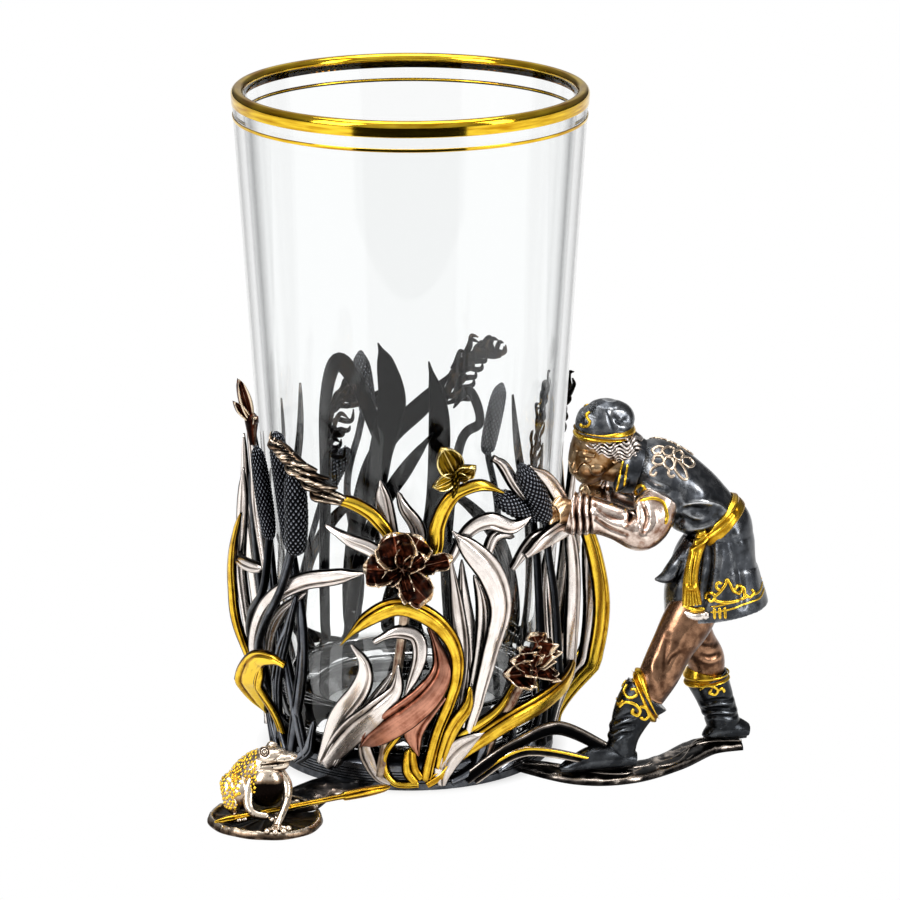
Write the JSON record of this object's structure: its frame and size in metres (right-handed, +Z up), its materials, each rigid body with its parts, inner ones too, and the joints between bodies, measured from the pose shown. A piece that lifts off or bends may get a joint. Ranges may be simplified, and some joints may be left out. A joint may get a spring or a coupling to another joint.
{
  "type": "tea glass holder with tea glass",
  "caption": "Tea glass in a cast openwork holder: a base ring with a wall of reeds, leaves and irises, a bending figure as the handle and a frog on a lily pad.",
  "frame": {"origin": "on the axis of the glass, in the plane that the holder stands on, at the middle of the base opening", "axes": "+Z up along the axis of the glass, -Y the front with the large iris, +X towards the figure that is the handle"},
  "size_m": [0.114, 0.0963, 0.1402],
  "materials": {
    "clear_glass": "clear, fire-polished",
    "fired_gold": "bright gold fired on the glass",
    "gilt_metal": "gilt, bright on the raised edges, brown in the grooves",
    "silvered_metal": "silver plated and polished, black in the grooves",
    "coppered_metal": "copper plated, fine-grained satin",
    "brown_patina_metal": "dark red-brown patina with bright rubbed edges",
    "speckled_metal": "aged silver with gilt spots",
    "aged_silver_metal": "silvered, toned grey-brown",
    "bronze_metal": "bronze patina, satin",
    "rose_silver_metal": "warm rose silver, satin",
    "blackened_metal": "black oxidised, polished on the raised parts"
  },
  "bodies": {
    "holder": {"base_ring": "blackened_metal", "front_gold_leaves": "gilt_metal", "front_silver_leaves": "silvered_metal", "front_dark_leaves": "blackened_metal", "tall_silver_blades": "silvered_metal", "copper_leaves": "coppered_metal", "upper_gold_leaves": "gilt_metal", "upper_silver_leaves": "silvered_metal", "left_silver_leaves": "silvered_metal", "left_dark_leaves": "blackened_metal", "left_gold_leaf": "gilt_metal", "drooping_gold_leaf": "gilt_metal", "right_gold_leaves": "gilt_metal", "right_silver_leaves": "silvered_metal", "back_dark_leaves": "blackened_metal", "back_silver_leaves": "silvered_metal", "back_gold_leaves": "gilt_metal", "left_reed_mace": "blackened_metal", "right_reed_mace": "blackened_metal", "back_reed_mace": "blackened_metal", "front_reed_plume": "aged_silver_metal", "back_reed_plumes": "aged_silver_metal", "large_iris": "brown_patina_metal", "small_iris": "brown_patina_metal", "butterfly": "gilt_metal", "dragonfly": "brown_patina_metal", "lily_pad": "blackened_metal", "pad_bridge": "blackened_metal", "frog_body": "speckled_metal", "frog_limbs": "speckled_metal", "reed_stalk": "gilt_metal", "ground_strip": "blackened_metal", "root_arches": "blackened_metal", "head": "bronze_metal", "hair": "aged_silver_metal", "cap": "blackened_metal", "cap_band": "gilt_metal", "coat_body": "blackened_metal", "coat_collar": "blackened_metal", "sash": "gilt_metal", "coat_skirt": "blackened_metal", "near_sleeve": "rose_silver_metal", "far_sleeve": "rose_silver_metal", "near_hand": "bronze_metal", "far_hand": "bronze_metal", "near_leg": "bronze_metal", "far_leg": "bronze_metal", "near_boot": "blackened_metal", "far_boot": "blackened_metal", "boot_cuffs": "gilt_metal"},
    "tea_glass": {"glass": "clear_glass", "rim_gilding": "fired_gold", "gilt_line": "fired_gold"}
  },
  "joints": [
    {"name": "glass_lift", "type": "slide", "parent": "holder", "child": "tea_glass", "axis": [0, 0, 1], "range_m": [0, 0.09]}
  ]
}
